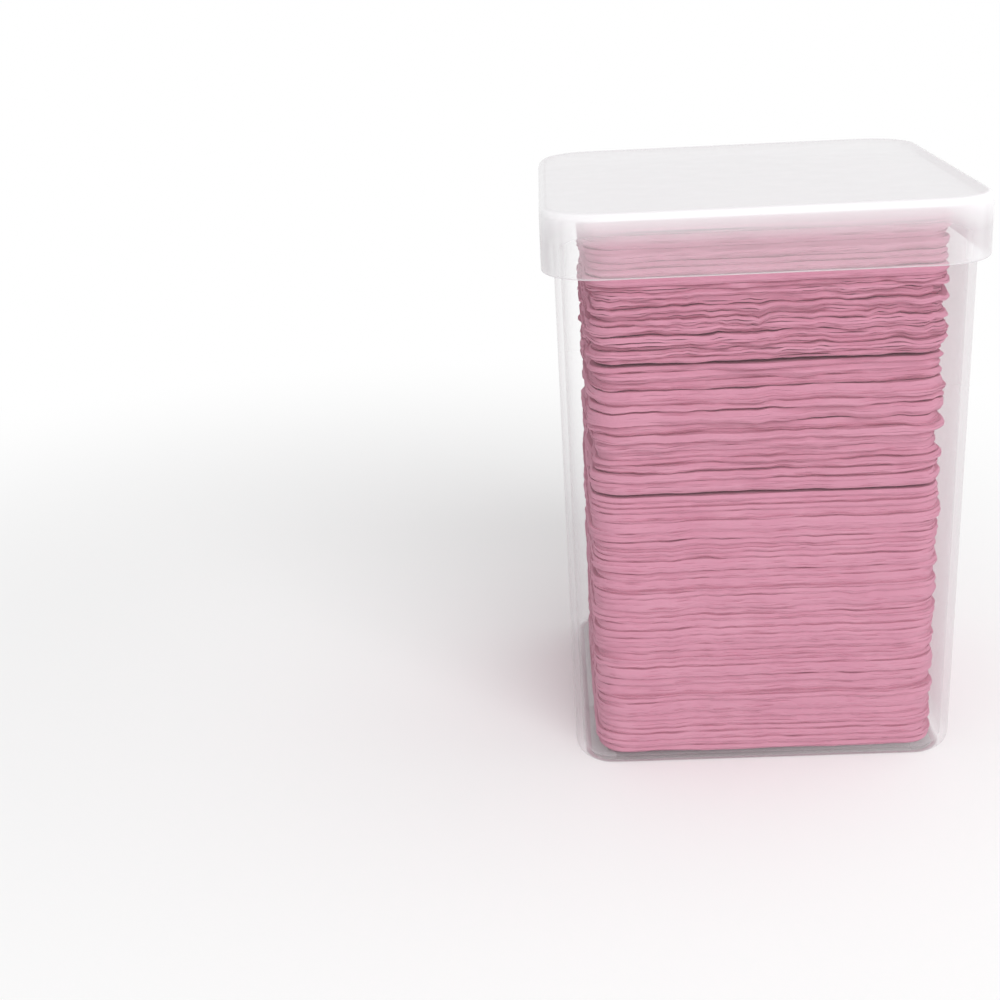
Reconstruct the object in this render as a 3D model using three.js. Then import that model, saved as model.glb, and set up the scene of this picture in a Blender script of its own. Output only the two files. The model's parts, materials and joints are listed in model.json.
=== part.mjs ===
// Square pad box: a thin moulded tub, a push-on lid and a stack of soft nonwoven pads.
// Millimetres, +Z up, origin at the middle of the base, front towards -Y.
import * as THREE from "three";

// Pads: one sheaf is four wipes lying together
const padSide = 50;
const padCorner = 4.5;
const sheafCount = 50;
const sheafGap = 0.15; // air between two sheaves
const bundleEnds = [26, 38]; // sheaves that end a bundle
const bundleGap = 0.5; // extra air above a bundle
const padSway = 0.25; // how far a sheaf lies off the middle
const padTurn = 0.35; // degrees that a sheaf lies turned
const stackForward = 0.8; // how far the stack stands from the middle, towards the front
const stackAside = 0.3; // and to the right

// Room round the stack
const sideRoom = 1.4; // to each wall at the floor, past the sway and the turn
const floorRoom = 0.1; // under the lowest sheaf
const headRoom = 1.7; // from the top sheaf to the rim

// Tub
const tubWall = 1.1;
const tubFloor = 1.1; // its upper face, above the foot
const tubHeight = 81.5;
const tubDraft = 0.85; // how far a wall leans out from base to rim
const tubCorner = 5.8; // outside corner radius at the base
const baseRound = 2.3; // rounding under the walls
const floorFillet = 0.5; // rounding inside, where the walls meet the floor
const footWidth = 2.4; // flat ring that the tub stands on
const footRise = 0.3; // hollow inside that ring
const leastCorner = 0.4; // of that hollow
const rimBead = 0.4; // ridge that the lid grips
const beadHeight = 1.6;
const beadDrop = 3; // from the rim to the ridge's middle

// Lid
const lidClearance = 0.2; // between the ridge and the skirt
const lidWall = 1.1;
const lidTop = 1.3;
const lidSeat = 0.3; // between the rim and the underside of the lid
const skirtDepth = 8.9; // outside, from the top of the lid
const lidRound = 1.3; // rounding round the top
const skirtRound = 0.35; // rounding of the skirt's lower edge

// Fineness of the round stretches
const cornerSteps = 8;
const roundSteps = 4;
const padCornerSteps = 4;

const quarter = Math.PI / 2;
const padReach = (padSide / 2) * Math.sin(THREE.MathUtils.degToRad(padTurn));
const tubSide = padSide + 2 * (padSway + padReach + sideRoom + tubWall);

// A square with rounded corners, anticlockwise
function roundedSquare(side, corner, steps) {
  const middle = new THREE.Vector2();
  const reach = side / 2 - corner;
  const points = [];
  for (let turn = 0; turn < 4; turn++) {
    const centre = new THREE.Vector2(reach, reach).rotateAround(middle, turn * quarter);
    for (let i = 0; i <= steps; i++) {
      const angle = (turn + i / steps) * quarter;
      const spoke = new THREE.Vector2(corner * Math.cos(angle), corner * Math.sin(angle));
      points.push(spoke.add(centre));
    }
  }
  return points;
}

// The tub's base outline, moved out by an offset and lifted to a height
function ring([offset, z]) {
  const corner = Math.max(tubCorner + offset, leastCorner);
  const outline = roundedSquare(tubSide + 2 * offset, corner, cornerSteps);
  return outline.map((p) => new THREE.Vector3(p.x, p.y, z));
}

// A quarter round of a profile about a centre, from one angle to another
function round(offset, z, radius, from, to) {
  return Array.from({ length: roundSteps + 1 }, (_, i) => {
    const angle = from + ((to - from) * i) / roundSteps;
    return [offset + radius * Math.cos(angle), z + radius * Math.sin(angle)];
  });
}

// A closed solid from a profile of [offset, z] steps, capped at both ends
function loft(profile) {
  const rings = profile.map(ring);
  const count = rings[0].length;
  const at = (level, i) => level * count + (i % count);
  const triangles = [];
  for (let level = 0; level + 1 < rings.length; level++) {
    for (let i = 0; i < count; i++) {
      triangles.push(at(level, i), at(level, i + 1), at(level + 1, i + 1));
      triangles.push(at(level, i), at(level + 1, i + 1), at(level + 1, i));
    }
  }
  const last = rings.length - 1;
  for (const [a, b, c] of THREE.ShapeUtils.triangulateShape(rings[0], [])) {
    triangles.push(at(0, c), at(0, b), at(0, a));
    triangles.push(at(last, a), at(last, b), at(last, c));
  }
  const solid = new THREE.BufferGeometry().setFromPoints(rings.flat());
  solid.setIndex(triangles);
  solid.computeVertexNormals();
  return solid;
}

function addPiece(group, name, geometry, finish) {
  const mesh = new THREE.Mesh(geometry, new THREE.MeshStandardMaterial(finish));
  mesh.name = name;
  group.add(mesh);
  return mesh;
}

// How far the tub's outside lies from its base outline at a height
const lean = (z) => (tubDraft * z) / tubHeight;

function tubSolid() {
  const footOuter = lean(baseRound) - baseRound;
  const footInner = footOuter - footWidth;
  const bead = tubHeight - beadDrop;
  const rimRound = tubWall / 2;
  const rim = lean(tubHeight) - rimRound;
  const floorEdge = lean(tubFloor) - tubWall - floorFillet;
  return loft([
    [footInner - footRise, footRise],
    [footInner, 0],
    ...round(footOuter, baseRound, baseRound, -quarter, 0),
    [lean(bead - beadHeight / 2), bead - beadHeight / 2],
    [lean(bead) + rimBead, bead],
    [lean(bead + beadHeight / 2), bead + beadHeight / 2],
    ...round(rim, tubHeight - rimRound, rimRound, 0, 2 * quarter),
    ...round(floorEdge, tubFloor + floorFillet, floorFillet, 0, -quarter),
  ]);
}

function lidSolid() {
  const inside = lean(tubHeight) + rimBead + lidClearance;
  const outside = inside + lidWall;
  const underside = tubHeight + lidSeat;
  const top = underside + lidTop;
  const hem = top - skirtDepth;
  return loft([
    [inside, underside],
    [inside, hem],
    ...round(outside - skirtRound, hem + skirtRound, skirtRound, -quarter, 0),
    ...round(outside - lidRound, top - lidRound, lidRound, 0, quarter),
  ]);
}

// Each sheaf lies a little off the middle and a little turned, as loose wipes do
function addSheaves(group) {
  const outline = new THREE.Shape(roundedSquare(padSide, padCorner, padCornerSteps));
  const bottom = tubFloor + floorRoom;
  const stackHeight = tubHeight - headRoom - bottom;
  const airHeight = (sheafCount - 1) * sheafGap + bundleEnds.length * bundleGap;
  const sheafHeight = (stackHeight - airHeight) / sheafCount;
  const sheaf = new THREE.ExtrudeGeometry(outline, { depth: sheafHeight, bevelEnabled: false });
  for (let n = 1; n <= sheafCount; n++) {
    const bundlesBelow = bundleEnds.filter((end) => end < n).length;
    const name = `pad_sheaf_${String(n).padStart(2, "0")}`;
    const mesh = addPiece(group, name, sheaf, { color: 0xe3a3ba, roughness: 0.95, metalness: 0 });
    mesh.position.set(
      stackAside + padSway * Math.sin(2.4 * n),
      -stackForward + padSway * Math.cos(1.7 * n),
      bottom + (n - 1) * (sheafHeight + sheafGap) + bundlesBelow * bundleGap,
    );
    mesh.rotation.z = THREE.MathUtils.degToRad(padTurn) * Math.sin(3.1 * n);
  }
}

const padBox = new THREE.Group();
const clear = { transparent: true, metalness: 0 };
addPiece(padBox, "tub", tubSolid(), { ...clear, color: 0xe9e6e9, opacity: 0.3, roughness: 0.2 });
addPiece(padBox, "lid", lidSolid(), { ...clear, color: 0xefecef, opacity: 0.5, roughness: 0.35 });
addSheaves(padBox);

export default padBox;
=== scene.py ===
import json
import math
import random
from bisect import bisect
import bmesh
import bpy
from mathutils import Matrix, Vector, noise


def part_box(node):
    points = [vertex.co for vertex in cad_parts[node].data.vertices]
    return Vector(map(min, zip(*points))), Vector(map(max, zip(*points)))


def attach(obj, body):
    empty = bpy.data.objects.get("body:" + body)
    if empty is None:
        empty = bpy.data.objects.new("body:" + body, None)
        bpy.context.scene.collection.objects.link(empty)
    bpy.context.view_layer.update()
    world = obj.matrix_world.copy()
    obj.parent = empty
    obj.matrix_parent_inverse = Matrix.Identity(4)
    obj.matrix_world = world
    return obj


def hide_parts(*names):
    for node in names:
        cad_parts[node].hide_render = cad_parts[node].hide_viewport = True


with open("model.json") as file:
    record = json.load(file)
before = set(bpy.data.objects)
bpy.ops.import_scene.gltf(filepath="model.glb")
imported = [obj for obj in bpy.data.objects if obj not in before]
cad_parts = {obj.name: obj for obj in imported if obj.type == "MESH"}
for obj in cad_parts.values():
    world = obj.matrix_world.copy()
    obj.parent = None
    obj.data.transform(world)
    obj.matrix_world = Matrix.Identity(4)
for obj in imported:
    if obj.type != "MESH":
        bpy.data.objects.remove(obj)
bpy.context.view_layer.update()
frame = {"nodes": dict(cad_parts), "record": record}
scene = bpy.context.scene
scene.view_settings.view_transform = "Standard"
scene.cycles.transparent_max_bounces = 32  # a ray through lid and tub meets more than the usual 8 faces
mm = 0.001
up = Vector((0, 0, 1))
print("frame loaded:", len(frame["nodes"]), "nodes")

# Camera, at the photo's angle
camera = {
    "place": (-29.12, -238.65, 119.42),  # mm from the middle of the base
    "heading": 2.264,  # degrees, turned left from looking along +Y
    "tilt": 19.88,  # degrees down
    "roll": -2.971,
    "lens": 57.49,  # mm, on a sensor 36 mm wide
    "sensor": 36,
    "nearest": 10,  # mm, nothing closer is drawn
}


def addCamera():
    data = bpy.data.cameras.new("camera")
    data.lens = camera["lens"]
    data.sensor_width = camera["sensor"]
    data.clip_start = camera["nearest"] * mm
    lens = bpy.data.objects.new("camera", data)
    scene.collection.objects.link(lens)
    heading = Matrix.Rotation(math.radians(camera["heading"]), 4, "Z")
    tilt = Matrix.Rotation(math.radians(90 - camera["tilt"]), 4, "X")
    roll = Matrix.Rotation(math.radians(camera["roll"]), 4, "Z")
    place = Matrix.Translation(Vector(camera["place"]) * mm)
    lens.matrix_world = place @ heading @ tilt @ roll
    scene.camera = lens


addCamera()
print("camera placed")


# Node helpers
def linear(hexColour):
    parts = [int(hexColour[i : i + 2], 16) / 255 for i in (1, 3, 5)]
    return [c / 12.92 if c <= 0.04045 else ((c + 0.055) / 1.055) ** 2.4 for c in parts] + [1]


# Adds a node; a setting is one of its inputs or properties, and a link is the socket that feeds an input
def addNode(tree, kind, settings=None, links=None):
    node = tree.nodes.new(kind)
    for name, value in (settings or {}).items():
        if isinstance(name, str) and hasattr(node, name):
            setattr(node, name, value)
        else:
            node.inputs[name].default_value = value
    for name, socket in (links or {}).items():
        tree.links.new(socket, node.inputs[name])
    return node


def newMaterial(name):
    material = bpy.data.materials.new(name)
    material.use_nodes = True
    material.node_tree.nodes.clear()
    return material, material.node_tree


# 1 where the camera looks at the stage, straight on, mirrored or through plastic, and 0 for light that
# falls on the object
def seenByCamera(tree):
    path = addNode(tree, "ShaderNodeLightPath").outputs
    looks = addNode(tree, "ShaderNodeMath", {"operation": "ADD"},
                    {0: path["Is Camera Ray"], 1: path["Is Glossy Ray"]})
    looks = addNode(tree, "ShaderNodeMath", {"operation": "ADD", "use_clamp": True},
                    {0: looks.outputs[0], 1: path["Is Transmission Ray"]})
    direct = addNode(tree, "ShaderNodeMath", {"operation": "LESS_THAN", 1: 0.5}, {0: path["Diffuse Depth"]})
    seen = addNode(tree, "ShaderNodeMath", {"operation": "MULTIPLY"},
                   {0: looks.outputs[0], 1: direct.outputs[0]})
    return seen.outputs[0]


# Stage and light
stage = {
    "floorSize": 8,  # m
    "floorColour": "#FBFBFB",
    "floorGlow": (0, 1),  # share of plain white that the camera sees in the floor, close by and far off
    "glowMiddle": (-0.06, 0.02, 0),  # m, a point in the shadow
    "glowRings": (0.05, 0.2),  # m from there, where that share begins and ends to grow
    "skyLight": 0.6,
}
# Softboxes: one overhead, which draws the upper edges of the layers, and one from the right, in front
lamps = {
    "overhead": {"place": (0.25, 0.1, 0.95), "size": (0.7, 0.7), "power": 0.9},
    "front": {"place": (0.25, -0.85, 0.65), "size": (0.9, 0.9), "power": 7.1},
}


def addStage():
    bm = bmesh.new()
    bmesh.ops.create_grid(bm, x_segments=1, y_segments=1, size=stage["floorSize"] / 2)
    mesh = bpy.data.meshes.new("floor")
    bm.to_mesh(mesh)
    bm.free()
    floor = bpy.data.objects.new("floor", mesh)
    scene.collection.objects.link(floor)
    # Matt paper: pale, with no gloss
    material, tree = newMaterial("matt_paper")
    paper = addNode(tree, "ShaderNodeBsdfDiffuse", {"Color": linear(stage["floorColour"])})
    white = addNode(tree, "ShaderNodeEmission", {"Strength": 1})
    place = addNode(tree, "ShaderNodeTexCoord").outputs["Object"]
    away = addNode(tree, "ShaderNodeVectorMath", {"operation": "DISTANCE", 1: stage["glowMiddle"]},
                   {0: place})
    glow = addNode(tree, "ShaderNodeMapRange",
                   {"interpolation_type": "SMOOTHSTEP", "From Min": stage["glowRings"][0],
                    "From Max": stage["glowRings"][1], "To Min": stage["floorGlow"][0],
                    "To Max": stage["floorGlow"][1]},
                   {"Value": away.outputs["Value"]})
    share = addNode(tree, "ShaderNodeMath", {"operation": "MULTIPLY"},
                    {0: seenByCamera(tree), 1: glow.outputs[0]})
    mixed = addNode(tree, "ShaderNodeMixShader", None,
                    {0: share.outputs[0], 1: paper.outputs[0], 2: white.outputs[0]})
    addNode(tree, "ShaderNodeOutputMaterial", None, {"Surface": mixed.outputs[0]})
    mesh.materials.append(material)

    world = bpy.data.worlds.new("studio")
    scene.world = world
    world.use_nodes = True
    tree = world.node_tree
    tree.nodes.clear()
    strength = addNode(tree, "ShaderNodeMapRange", {"To Min": stage["skyLight"], "To Max": 1},
                       {"Value": seenByCamera(tree)})
    sky = addNode(tree, "ShaderNodeBackground", {"Color": (1, 1, 1, 1)}, {"Strength": strength.outputs[0]})
    addNode(tree, "ShaderNodeOutputWorld", None, {"Surface": sky.outputs[0]})

    for name, lamp in lamps.items():
        data = bpy.data.lights.new(name, "AREA")
        data.shape = "RECTANGLE"
        data.size, data.size_y = lamp["size"]
        data.energy = lamp["power"]
        light = bpy.data.objects.new(name, data)
        scene.collection.objects.link(light)
        light.location = lamp["place"]
        light.rotation_euler = Vector(lamp["place"]).to_track_quat("Z", "Y").to_euler()


addStage()
print("floor and light set")


# Materials
plastic = {
    # The haze of one face seen straight on and edge on, and how late it grows between the two; then the
    # heights in mm where the moulding starts to be thick, is thickest, begins to thin and ends. There the
    # haze grows and the colour is painted light
    # At the tub's foot the thick colour is a pinkish grey: painted pink light from the wipes and painted
    # shade under the tub
    "tub": {"colour": "#E2DFE2", "haze": (0.02, 0.5), "growth": 2.4, "roughness": 0.12,
            "thick": (-2, -1, 0.05, 0.28), "thickHaze": 0.6, "paintedLightColour": "#C6AEB6"},
    # On the lid's top rounding the thick colour is a brighter white: a painted highlight along the edge,
    # over a milkier thick moulding
    "lid": {"colour": "#E9E7E9", "haze": (0.12, 0.95), "growth": 1.25, "roughness": 0.2,
            "thick": (78.5, 82.3, 82.8, 83.05), "thickHaze": 0.4, "paintedLightColour": "#F8F6F8"},
    "kept": 0.12,  # of the haze for light on its way in, because most of it is scattered onwards
    "waveSize": 9,  # mm, the slow waviness of a thin moulded wall
    "waveHeight": 0.02,
    "patchSize": 4,  # mm, patches that came off the mould a little duller
    "patchSpread": 0.25,  # share of the roughness that they differ by
    "ior": 1.49,
}


# Injection-moulded polypropylene: colourless, soft gloss on slightly wavy walls, and a milky haze that
# thickens where the eye looks along a wall; where the moulding is thick, its colour is painted light
def mouldedPolypropylene(name, look):
    material, tree = newMaterial(name)
    place = addNode(tree, "ShaderNodeTexCoord").outputs["Object"]
    wave = addNode(tree, "ShaderNodeTexNoise", {"Scale": 1 / (plastic["waveSize"] * mm), "Detail": 1.5},
                   {"Vector": place})
    patch = addNode(tree, "ShaderNodeTexNoise", {"Scale": 1 / (plastic["patchSize"] * mm), "Detail": 2},
                    {"Vector": place})
    rough = addNode(tree, "ShaderNodeMapRange",
                    {"To Min": look["roughness"] * (1 - plastic["patchSpread"]),
                     "To Max": look["roughness"] * (1 + plastic["patchSpread"])},
                    {"Value": patch.outputs["Fac"]})
    bump = addNode(tree, "ShaderNodeBump", {"Strength": 1, "Distance": plastic["waveHeight"] * mm},
                   {"Height": wave.outputs["Fac"]})
    facing = addNode(tree, "ShaderNodeLayerWeight", {"Blend": 0.5})
    grown = addNode(tree, "ShaderNodeMath", {"operation": "POWER", 1: look["growth"]},
                    {0: facing.outputs["Facing"]})
    haze = addNode(tree, "ShaderNodeMapRange", {"To Min": look["haze"][0], "To Max": look["haze"][1]},
                   {"Value": grown.outputs[0]})
    path = addNode(tree, "ShaderNodeLightPath").outputs
    lighting = addNode(tree, "ShaderNodeMath", {"operation": "MAXIMUM"},
                       {0: path["Is Shadow Ray"], 1: path["Is Diffuse Ray"]})
    kept = addNode(tree, "ShaderNodeMapRange", {"To Min": 1, "To Max": plastic["kept"]},
                   {"Value": lighting.outputs[0]})
    haze = addNode(tree, "ShaderNodeMath", {"operation": "MULTIPLY"},
                   {0: haze.outputs[0], 1: kept.outputs[0]})
    # More of it between these heights, where the moulding is thick
    height = addNode(tree, "ShaderNodeSeparateXYZ", None, {0: place}).outputs[2]
    starts, full, fades, ends = [level * mm for level in look["thick"]]
    rise = addNode(tree, "ShaderNodeMapRange", {"From Min": starts, "From Max": full}, {"Value": height})
    fall = addNode(tree, "ShaderNodeMapRange", {"From Min": ends, "From Max": fades}, {"Value": height})
    thick = addNode(tree, "ShaderNodeMath", {"operation": "MULTIPLY"},
                    {0: rise.outputs[0], 1: fall.outputs[0]})
    veil = addNode(tree, "ShaderNodeMath",
                   {"operation": "MULTIPLY_ADD", 1: look["thickHaze"], "use_clamp": True},
                   {0: thick.outputs[0], 2: haze.outputs[0]})
    # Painted light: where the moulding is thick, the colour moves to painted pink light and shade at the
    # tub's foot, and to a painted highlight on the lid's top rounding
    colour = addNode(tree, "ShaderNodeMix",
                     {"data_type": "RGBA", 6: linear(look["colour"]), 7: linear(look["paintedLightColour"])},
                     {0: thick.outputs[0]})
    surface = addNode(tree, "ShaderNodeBsdfPrincipled", {"IOR": plastic["ior"]},
                      {"Base Color": colour.outputs[2], "Roughness": rough.outputs[0],
                       "Normal": bump.outputs[0], "Alpha": veil.outputs[0]})
    addNode(tree, "ShaderNodeOutputMaterial", None, {"Surface": surface.outputs[0]})
    return material


dots = {
    "pitch": 3.3,  # mm, along a row; the next row is set over by half
    "radius": 0.52,
    "depth": 0.11,
    "margin": 3.2,  # mm, the plain border
    "blur": (1.1, 0.6),  # times the radius, where a dot's colour begins and where it is full
    "dent": (1.35, 0.9),  # times the radius, where its dent begins, and how far in from there it is full
}
fleece = {
    "colour": "#CF94A8",
    "deep": "#C38198",
    "dot": "#A9667F",
    "fibreSize": 0.35,  # mm, coarser than the real fibres, so that they show
    "fibreHeight": 0.03,
    "mottleSize": 6,  # mm, slow patches of the deeper colour
}


# Spunlaced viscose fleece: matt, soft, finely fibrous, with a grid of pressed dots
def spunlacedFleece():
    material, tree = newMaterial("spunlaced_fleece")
    place = addNode(tree, "ShaderNodeTexCoord").outputs["Object"]
    mottle = addNode(tree, "ShaderNodeTexNoise", {"Scale": 1 / (fleece["mottleSize"] * mm), "Detail": 4},
                     {"Vector": place})
    fibre = addNode(tree, "ShaderNodeTexNoise",
                    {"Scale": 1 / (fleece["fibreSize"] * mm), "Detail": 4, "Distortion": 1.2},
                    {"Vector": place})
    plain = addNode(tree, "ShaderNodeMix",
                    {"data_type": "RGBA", 6: linear(fleece["deep"]), 7: linear(fleece["colour"])},
                    {0: mottle.outputs["Fac"]})
    # Distance to the nearest dot of the two grids
    distances = []
    for shift in (0, 0.5):
        cell = addNode(tree, "ShaderNodeMapping",
                       {"Location": (shift + 0.5, shift + 0.5, 0),
                        "Scale": (1 / (dots["pitch"] * mm), 1 / (dots["pitch"] * mm), 0)},
                       {"Vector": place})
        inCell = addNode(tree, "ShaderNodeVectorMath", {"operation": "FRACTION"}, {0: cell.outputs[0]})
        away = addNode(tree, "ShaderNodeVectorMath", {"operation": "DISTANCE", 1: (0.5, 0.5, 0)},
                       {0: inCell.outputs[0]})
        distances.append(away.outputs["Value"])
    gap = addNode(tree, "ShaderNodeMath", {"operation": "MINIMUM"}, {0: distances[0], 1: distances[1]})
    dotSize = dots["radius"] / dots["pitch"]
    blurStart, blurEnd = dots["blur"]
    dot = addNode(tree, "ShaderNodeMapRange",
                  {"interpolation_type": "SMOOTHSTEP", "From Min": dotSize * blurStart,
                   "From Max": dotSize * blurEnd},
                  {"Value": gap.outputs[0]})
    # No dots on the plain border
    spread = addNode(tree, "ShaderNodeVectorMath", {"operation": "ABSOLUTE"}, {0: place})
    axes = addNode(tree, "ShaderNodeSeparateXYZ", None, {0: spread.outputs[0]})
    border = addNode(tree, "ShaderNodeMath", {"operation": "MAXIMUM"},
                     {0: axes.outputs[0], 1: axes.outputs[1]})
    inside = addNode(tree, "ShaderNodeMath",
                     {"operation": "LESS_THAN", 1: (pads["side"] / 2 - dots["margin"]) * mm},
                     {0: border.outputs[0]})
    dotted = addNode(tree, "ShaderNodeMath", {"operation": "MULTIPLY"},
                     {0: dot.outputs[0], 1: inside.outputs[0]})
    colour = addNode(tree, "ShaderNodeMix", {"data_type": "RGBA", 7: linear(fleece["dot"])},
                     {0: dotted.outputs[0], 6: plain.outputs[2]})
    bump = addNode(tree, "ShaderNodeBump", {"Strength": 0.8, "Distance": fleece["fibreHeight"] * mm},
                   {"Height": fibre.outputs["Fac"]})
    surface = addNode(tree, "ShaderNodeBsdfPrincipled",
                      {"Roughness": 0.95, "Specular IOR Level": 0.1, "Sheen Weight": 0.05,
                       "Sheen Roughness": 0.5},
                      {"Base Color": colour.outputs[2], "Normal": bump.outputs[0]})
    addNode(tree, "ShaderNodeOutputMaterial", None, {"Surface": surface.outputs[0]})
    return material


# Mesh helpers
closeBy = 1e-6  # m, two places nearer than this are the same
sameWay = 0.9999  # least cosine between a face's normal and the way it looks
sharp = 1  # radians between two faces, past which their edge is a corner


def roundedPlate(bm, side, corner, segments):
    plate = bmesh.ops.create_grid(bm, x_segments=1, y_segments=1, size=side / 2 * mm)
    bmesh.ops.bevel(bm, geom=plate["verts"], offset=corner * mm, offset_type="OFFSET", affect="VERTICES",
                    segments=segments, profile=0.5, material=-1)


def extrudeBy(bm, faces, height):
    walls = bmesh.ops.extrude_face_region(bm, geom=faces)
    moved = [g for g in walls["geom"] if isinstance(g, bmesh.types.BMVert)]
    bmesh.ops.translate(bm, verts=moved, vec=(0, 0, height * mm))
    bm.normal_update()
    return moved


def roundEdges(bm, edges, radius, segments):
    bmesh.ops.bevel(bm, geom=edges, offset=radius * mm, offset_type="OFFSET", affect="EDGES",
                    segments=segments, profile=0.5, material=-1, clamp_overlap=True)
    bm.normal_update()


# The nearest point of the square that a square with rounded corners grows from
def nearest(place, core):
    return Vector((max(-core, min(core, place.x)), max(-core, min(core, place.y))))


def outwards(place, core):
    return (place.xy - nearest(place, core)).normalized()


def facesTowards(bm, direction):
    return [f for f in bm.faces if f.normal.dot(direction) > sameWay]


def levelEdges(bm, height):
    return [e for e in bm.edges if all(abs(v.co.z - height * mm) < closeBy for v in e.verts)]


def sharpEdges(edges):
    return [e for e in edges if abs(e.calc_face_angle(0)) > sharp]


def addPiece(bm, name, material, body, slot, *nodes):
    mesh = bpy.data.meshes.new(name)
    bm.to_mesh(mesh)
    bm.free()
    mesh.shade_smooth()
    mesh.materials.append(material)
    piece = bpy.data.objects.new(name, mesh)
    scene.collection.objects.link(piece)
    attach(piece, body)
    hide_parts(*nodes)
    return piece


def weightNormals(piece):
    finish = piece.modifiers.new("flat walls", "WEIGHTED_NORMAL")
    finish.weight = 100
    finish.keep_sharp = False


# Tub
tub = {
    "wall": 1.1,
    "floor": 1.1,  # its upper face
    "draft": 0.85,  # how far each wall leans out from base to rim
    "corner": 5.8,  # outside, at the base
    "baseRound": 2.3,
    "footWidth": 2.4,
    "footRise": 0.3,
    "rimRound": 0.4,
    "bead": 0.4,  # ridge that the lid grips
    "beadHeight": 1.6,
    "beadDrop": 3,  # from the rim to its middle
    "floorReach": 1.3,  # times footRise: inner points up to there are part of the level floor
    "cornerSteps": 12,
    "baseSteps": 6,
    "rimSteps": 4,
    "beadSteps": 4,  # on each side of its middle
}


def makeTub():
    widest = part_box("tub")[1] / mm
    height = widest.z
    side = 2 * (widest.x - tub["bead"] - tub["draft"] * (1 - tub["beadDrop"] / height))
    core = (side / 2 - tub["corner"]) * mm
    bm = bmesh.new()
    roundedPlate(bm, side, tub["corner"], tub["cornerSteps"])
    rim = extrudeBy(bm, bm.faces[:], height)
    for v in rim:
        v.co.xy += outwards(v.co, core) * tub["draft"] * mm
    bmesh.ops.delete(bm, geom=facesTowards(bm, up), context="FACES_ONLY")
    roundEdges(bm, facesTowards(bm, -up)[0].edges[:], tub["baseRound"], tub["baseSteps"])
    base = facesTowards(bm, -up)
    bmesh.ops.inset_region(bm, faces=base, thickness=tub["footWidth"] * mm)
    bmesh.ops.inset_region(bm, faces=base, thickness=tub["footRise"] * mm, depth=-tub["footRise"] * mm)
    outside = set(bm.verts)
    bmesh.ops.solidify(bm, geom=bm.faces[:], thickness=tub["wall"] * mm)
    floorReach = tub["wall"] + tub["floorReach"] * tub["footRise"]
    for v in bm.verts:
        if v not in outside and v.co.z < floorReach * mm:
            v.co.z = tub["floor"] * mm  # level floor over the hollow foot
    roundEdges(bm, sharpEdges(levelEdges(bm, height)), tub["rimRound"], tub["rimSteps"])
    # The ridge: loops round the wall, then those on the outside pushed out
    middle = height - tub["beadDrop"]
    steps = tub["beadSteps"]
    for step in range(-steps, steps + 1):
        level = middle + step / steps * tub["beadHeight"] / 2
        bmesh.ops.bisect_plane(bm, geom=bm.verts[:] + bm.edges[:] + bm.faces[:],
                               plane_co=(0, 0, level * mm), plane_no=up)
    for v in bm.verts:
        level = v.co.z / mm
        offMiddle = min(1, abs(level - middle) / (tub["beadHeight"] / 2))
        wallMiddle = tub["corner"] + tub["draft"] * level / height - tub["wall"] / 2
        if (v.co.xy - nearest(v.co, core)).length > wallMiddle * mm:
            v.co.xy += outwards(v.co, core) * tub["bead"] * math.cos(offMiddle * math.pi / 2) ** 2 * mm
    bm.normal_update()
    look = mouldedPolypropylene("moulded_polypropylene_tub", plastic["tub"])
    piece = addPiece(bm, "tub_shell", look, "tub", "tub_plastic", "tub")
    weightNormals(piece)


# Lid
lid = {
    "corner": 8.35,
    "wall": 1.1,
    "topWall": 1.3,
    "topRound": 1.3,
    "hemRound": 0.35,
    "cornerSteps": 14,
    "topSteps": 6,
    "hemSteps": 3,
}


def makeLid():
    low, high = [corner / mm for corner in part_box("lid")]
    bm = bmesh.new()
    roundedPlate(bm, 2 * high.x, lid["corner"], lid["cornerSteps"])
    bmesh.ops.translate(bm, verts=bm.verts[:], vec=(0, 0, low.z * mm))
    extrudeBy(bm, bm.faces[:], high.z - low.z)
    bmesh.ops.delete(bm, geom=facesTowards(bm, -up), context="FACES_ONLY")
    roundEdges(bm, facesTowards(bm, up)[0].edges[:], lid["topRound"], lid["topSteps"])
    outside = set(bm.verts)
    bmesh.ops.solidify(bm, geom=bm.faces[:], thickness=lid["wall"] * mm)
    underside = high.z - lid["topWall"]
    for v in bm.verts:
        if v not in outside and v.co.z > underside * mm:
            v.co.z = underside * mm
    roundEdges(bm, sharpEdges(levelEdges(bm, low.z)), lid["hemRound"], lid["hemSteps"])
    look = mouldedPolypropylene("moulded_polypropylene_lid", plastic["lid"])
    piece = addPiece(bm, "lid_shell", look, "lid", "lid_plastic", "lid")
    weightNormals(piece)


# Wipes
pads = {
    "side": 50.0,  # mm
    "corner": 4.5,
    "wipes": 4,  # in each sheaf
    "cornerSteps": 6,
    "edgeSteps": 56,
    "edgeSlack": 0.05,  # mm from the edge, within which a point is on it
    "softBorder": (1.3, 4.0),  # mm in from the edge: where the waves begin to weaken, and where they end
    "mostBack": 1.2,  # mm, how far an edge may lie back
    "lip": 0.2,  # mm, of the air above a bundle that its top wipe may fill
    "raggedness": 0.22,  # mm, how unevenly single wipes are cut and laid
    "mostOpen": 0.45,  # unevenness past which a gap opens no further
    "turn": 0.3,  # degrees, how far a wipe lies turned on its sheaf
    "loft": 0.3,  # mm, how far the top wipe lifts here and there
    "fineStep": 0.33,  # mm, between the points of a wipe that lies open to view
    "seed": 4,
}
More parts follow.
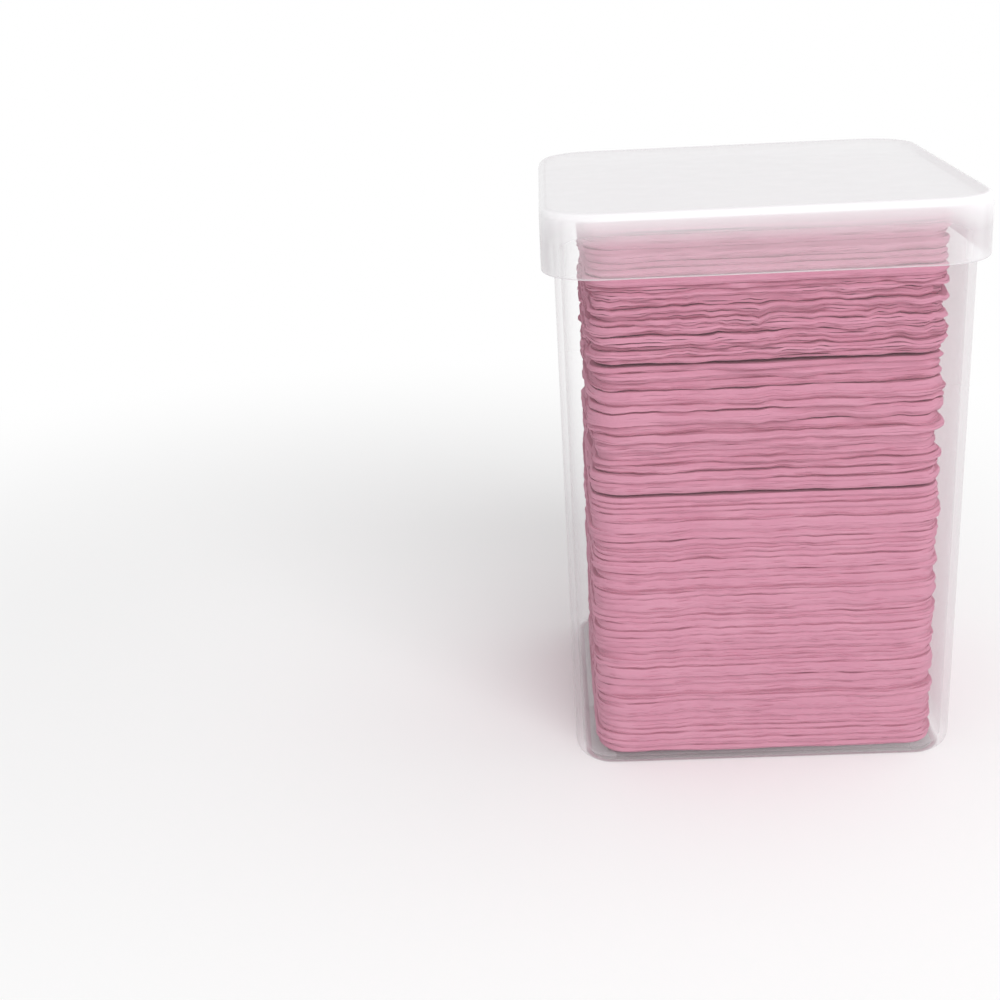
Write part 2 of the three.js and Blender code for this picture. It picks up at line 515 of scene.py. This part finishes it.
# How unevenly they lie; each start keeps one use of the noise apart from the others
laying = {
    "levelStep": 7.31,  # in the noise, from one wipe to the next
    "fineWaves": 2.7,  # in one slow wave
    "fineShare": 0.55,  # of the slow waves' height
    "fineStart": 91,
    "raggedWave": 0.6,  # times the bundle's wave, for the cut of a single wipe
    "raggedStart": 300,
    "swingWave": 2,  # times the bundle's wave, for a band that lies back here and there
    "swingStart": 700,
    "bandGap": (0.25, 1.5),  # times the bundle's gap: the least, and what chance adds at most
    "bandOpen": (0.3, 0.5),  # times that: where a gap is closest, and what it gains where it lies evenly
    "cling": 0.03,  # gap between the wipes of a band, on the scale of the bundle's gap
    "splitAt": 0.12,  # unevenness past which a band splits open
    "turnStep": 0.7,  # like levelStep, for how far a wipe lies turned
    "turnStart": 3,
    "loftWaves": 45,  # in a metre
    "loftShare": 0.4,  # added to the noise, so that more than half of the top wipe lifts
    "loftStart": 8,
}
# From the bottom; a band is a few wipes that cling together. Gaps share out the air that a bundle has: gap
# is for those between bands, split for those that open inside one. The waves are so many mm long. The soft
# edge of a wipe swells into a share of the air above it, the middle of a band bulges past its ends, and a
# whole band may lie back (both in mm)
bundles = [
    {"last": 26, "thickness": 0.345, "bands": (2, 2, 3, 3, 4, 5), "gap": 0.8, "split": 0.9, "wave": 6.0,
     "swell": 0.8, "bulge": 0.25, "setBack": 0.25},
    {"last": 38, "thickness": 0.33, "bands": (2, 3, 3, 4, 5), "gap": 0.9, "split": 0.9, "wave": 6.0,
     "swell": 0.6, "bulge": 0.45, "setBack": 0.95},
    {"last": 45, "thickness": 0.305, "bands": (2, 2, 3, 3, 4), "gap": 0.7, "split": 1.8, "wave": 3.8,
     "swell": 0.35, "bulge": 0.4, "setBack": 1.0},
    {"last": 50, "thickness": 0.345, "bands": (2, 3, 4, 5), "gap": 0.9, "split": 0.7, "wave": 7.0,
     "swell": 0.65, "bulge": 0.4, "setBack": 0.4},
]
wipeCore = (pads["side"] / 2 - pads["corner"]) * mm  # half the square that its rounded corners grow from


def sheafName(n):
    return f"pad_sheaf_{n:02d}"


def sheafBody(n):
    for body, nodes in frame["record"]["behaviour"]["bodies"].items():
        if sheafName(n) in nodes:
            return body


# A wipe is cut 1 mm thick here and pressed to its thickness when it is laid
def wipeTemplate():
    bm = bmesh.new()
    roundedPlate(bm, pads["side"], pads["corner"], pads["cornerSteps"])
    straight = [e for e in bm.edges if e.calc_length() > pads["side"] / 2 * mm]
    bmesh.ops.subdivide_edges(bm, edges=straight, cuts=pads["edgeSteps"] - 1)
    sheet = bm.faces[:]
    last = 0
    for border in pads["softBorder"]:
        bmesh.ops.inset_region(bm, faces=sheet, thickness=(border - last) * mm, use_boundary=True,
                               use_even_offset=True)
        last = border
    return finishTemplate(bm)


# The same wipe with a fine upper face, which takes the pressed dots
def fineTemplate():
    bm = bmesh.new()
    steps = round(pads["side"] / pads["fineStep"])
    bmesh.ops.create_grid(bm, x_segments=steps, y_segments=steps, size=pads["side"] / 2 * mm)
    for v in bm.verts:
        out = v.co.xy - nearest(v.co, wipeCore)
        if out.length > closeBy:
            v.co.xy += out.normalized() * max(abs(out.x), abs(out.y)) - out
    return finishTemplate(bm, plainBelow=True)


def finishTemplate(bm, plainBelow=False):
    extrudeBy(bm, bm.faces[:], 1)
    if plainBelow:
        bmesh.ops.dissolve_faces(bm, faces=facesTowards(bm, -up), use_verts=True)
    for e in bm.edges:
        e.smooth = e.calc_face_angle(0) < sharp
    mesh = bpy.data.meshes.new("wipe")
    bm.to_mesh(mesh)
    bm.free()
    return mesh


# How many mm a place lies in from the edge of a wipe
def edgeDepth(place):
    return pads["corner"] - (place.xy - nearest(place, wipeCore)).length / mm


# The two edge samples beside a place in the stack, and where it is between them
def besideEdge(place, angles):
    spot = nearest(place, wipeCore) + outwards(place, wipeCore) * pads["corner"] * mm
    angle = math.atan2(spot.y, spot.x)
    after = bisect(angles, angle) % len(angles)
    before = after - 1
    span = (angles[after] - angles[before]) % (2 * math.pi)
    return before, after, (angle - angles[before]) % (2 * math.pi) / span


def between(samples, beside):
    before, after, part = beside
    return samples[before] * (1 - part) + samples[after] * part


# For each point of a template: its share of the edge's waves, the edge samples beside it, the way out,
# how far it follows the edge sideways, and whether it is on the upper face
def readTemplate(mesh, angles):
    weak, end = pads["softBorder"]
    points = []
    for v in mesh.vertices:
        depth = edgeDepth(v.co)
        share = max(0, min(1, (end - depth) / (end - weak)))
        pull = max(0, 1 - depth / weak)
        points.append((share, besideEdge(v.co.xy, angles), outwards(v.co, wipeCore), pull, v.co.z > mm / 2))
    return points


# Perlin noise round the edge of one level, with shorter waves on longer ones
def unevenness(spot, level, wave):
    x, y = [c / mm / wave for c in spot]
    z = level * laying["levelStep"]
    times = laying["fineWaves"]
    slow = noise.noise(Vector((x, y, z)))
    fine = noise.noise(Vector((x * times, y * times, z + laying["fineStart"])))
    return slow + laying["fineShare"] * fine


# The height and thickness of each wipe at each edge sample, and how far its lower and upper edges lie back
def layStack(edge):
    chance = random.Random(pads["seed"])
    leastGap, gapSpread = laying["bandGap"]
    closest, opening = laying["bandOpen"]
    heights = {}
    thicknesses = {}
    insets = {}  # of the lower and the upper edge
    first = 1
    for bundle in bundles:
        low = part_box(sheafName(first))[0].z
        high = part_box(sheafName(bundle["last"]))[1].z
        levels = range((first - 1) * pads["wipes"], bundle["last"] * pads["wipes"])
        thick = bundle["thickness"] * mm
        air = high - low - len(levels) * thick
        over = pads["lip"] * mm if bundle is not bundles[-1] else 0
        raggedWave = bundle["wave"] * laying["raggedWave"]
        swingWave = bundle["wave"] * laying["swingWave"]
        bandEnds = {}
        level = levels.start
        while level < levels.stop:
            size = min(chance.choice(bundle["bands"]), levels.stop - level)
            back = bundle["setBack"] * chance.random()
            for i in range(size):
                rounds = [bundle["bulge"] * (1 - math.sin(math.pi * (i + j) / size)) for j in (0, 1)]
                insets[level + i] = [], []
                for spot in edge:
                    ragged = unevenness(spot, level + i + laying["raggedStart"], raggedWave)
                    swing = unevenness(spot, level + laying["swingStart"], swingWave)
                    shift = back + pads["raggedness"] * ragged + bundle["setBack"] * swing
                    for side, rounded in zip(insets[level + i], rounds):
                        side.append(max(0, min(pads["mostBack"], shift + rounded)))
            level += size
            bandEnds[level - 1] = bundle["gap"] * (leastGap + gapSpread * chance.random() ** 2)
        for n in levels:
            heights[n] = []
            thicknesses[n] = []
        for spot in edge:
            gaps = []
            for n in levels[:-1]:
                rough = min(unevenness(spot, n, bundle["wave"]), pads["mostOpen"])
                if n in bandEnds:
                    gaps.append(bandEnds[n] * (closest + max(0, opening + rough)))
                else:
                    gaps.append(laying["cling"] + bundle["split"] * max(0, rough - laying["splitAt"]))
            scale = air / sum(gaps)
            z = low
            for n, gap in zip(levels, gaps + [over / scale]):
                heights[n].append(z)
                thicknesses[n].append(thick + bundle["swell"] * gap * scale)
                z += thick + gap * scale
        first = bundle["last"] + 1
    angles = [math.atan2(spot.y, spot.x) for spot in edge]
    return {"angles": angles, "heights": heights, "thicknesses": thicknesses, "insets": insets}


# How deep the nearest pressed dot is at a place, from 0 to 1
def dotDepth(place):
    if max(abs(place.x), abs(place.y)) > (pads["side"] / 2 - dots["margin"]) * mm:
        return 0
    away = 1
    for shift in (0, 0.5):
        x, y = [abs((c / mm / dots["pitch"] + shift + 0.5) % 1 - 0.5) for c in place]
        away = min(away, math.hypot(x, y) * dots["pitch"] / dots["radius"])
    start, slope = dots["dent"]
    rise = max(0, min(1, (start - away) / slope))
    return rise * rise * (3 - 2 * rise)


# Adds a wipe to a sheaf, with its edge where the stack has it
def layWipe(bm, wipe, stack, level, thick, middle):
    mesh, points, dented = wipe
    start = len(bm.verts)
    bm.from_mesh(mesh)
    bm.verts.ensure_lookup_table()
    heights = stack["heights"][level]
    thicknesses = stack["thicknesses"][level]
    sway = noise.noise(Vector((level * laying["turnStep"], laying["turnStart"], 0)))
    turn = Matrix.Rotation(math.radians(pads["turn"]) * sway, 2)
    flat = sum(heights) / len(heights)  # away from the edge
    for (share, beside, direction, pull, upper), v in zip(points, bm.verts[start:]):
        back = between(stack["insets"][level][upper], beside) * pull
        v.co.xy = turn @ (v.co.xy - direction * back * mm) + middle.xy
        v.co.z = flat + thick * upper
        if share:
            beside = besideEdge(v.co.xy - stack["middle"], stack["angles"])
            v.co.z += (between(heights, beside) - flat) * share
            if upper:
                v.co.z += (between(thicknesses, beside) - thick) * share
        if dented and upper:
            v.co.z -= dots["depth"] * mm * dotDepth(v.co.xy)
        if level == len(stack["heights"]) - 1:
            waves = laying["loftWaves"]
            lift = noise.noise(Vector((v.co.x * waves, v.co.y * waves, laying["loftStart"])))
            v.co.z += pads["loft"] * mm * max(0, laying["loftShare"] + lift)


def makeWipes():
    look = spunlacedFleece()
    plain = wipeTemplate()
    fine = fineTemplate()
    rim = [v.co.xy for v in plain.vertices if v.co.z < mm / 2 and edgeDepth(v.co) < pads["edgeSlack"]]
    stack = layStack(sorted(rim, key=lambda spot: math.atan2(spot.y, spot.x)))
    plainWipe = plain, readTemplate(plain, stack["angles"]), False
    dottedWipe = fine, readTemplate(fine, stack["angles"]), True
    bodies = frame["record"]["behaviour"]["bodies"]
    openSheaves = [nodes[-1] for nodes in bodies.values() if nodes[-1].startswith("pad_sheaf")]
    sheaves = bundles[-1]["last"]
    boxes = [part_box(sheafName(n)) for n in range(1, sheaves + 1)]
    stack["middle"] = sum(((low + high) / 2 for low, high in boxes), Vector()).xy / sheaves
    for n in range(1, sheaves + 1):
        low, high = boxes[n - 1]
        middle = (low + high) / 2
        thick = next(b["thickness"] for b in bundles if n <= b["last"]) * mm
        bm = bmesh.new()
        for i in range(pads["wipes"]):
            shown = sheafName(n) in openSheaves and i == pads["wipes"] - 1
            wipe = dottedWipe if shown else plainWipe
            layWipe(bm, wipe, stack, (n - 1) * pads["wipes"] + i, thick, middle)
        name = f"wipes_{n:02d}"
        piece = addPiece(bm, name, look, sheafBody(n), "pad_fleece", sheafName(n))


makeTub()
print("tub made")
makeLid()
print("lid made")
makeWipes()
print("wipes made")
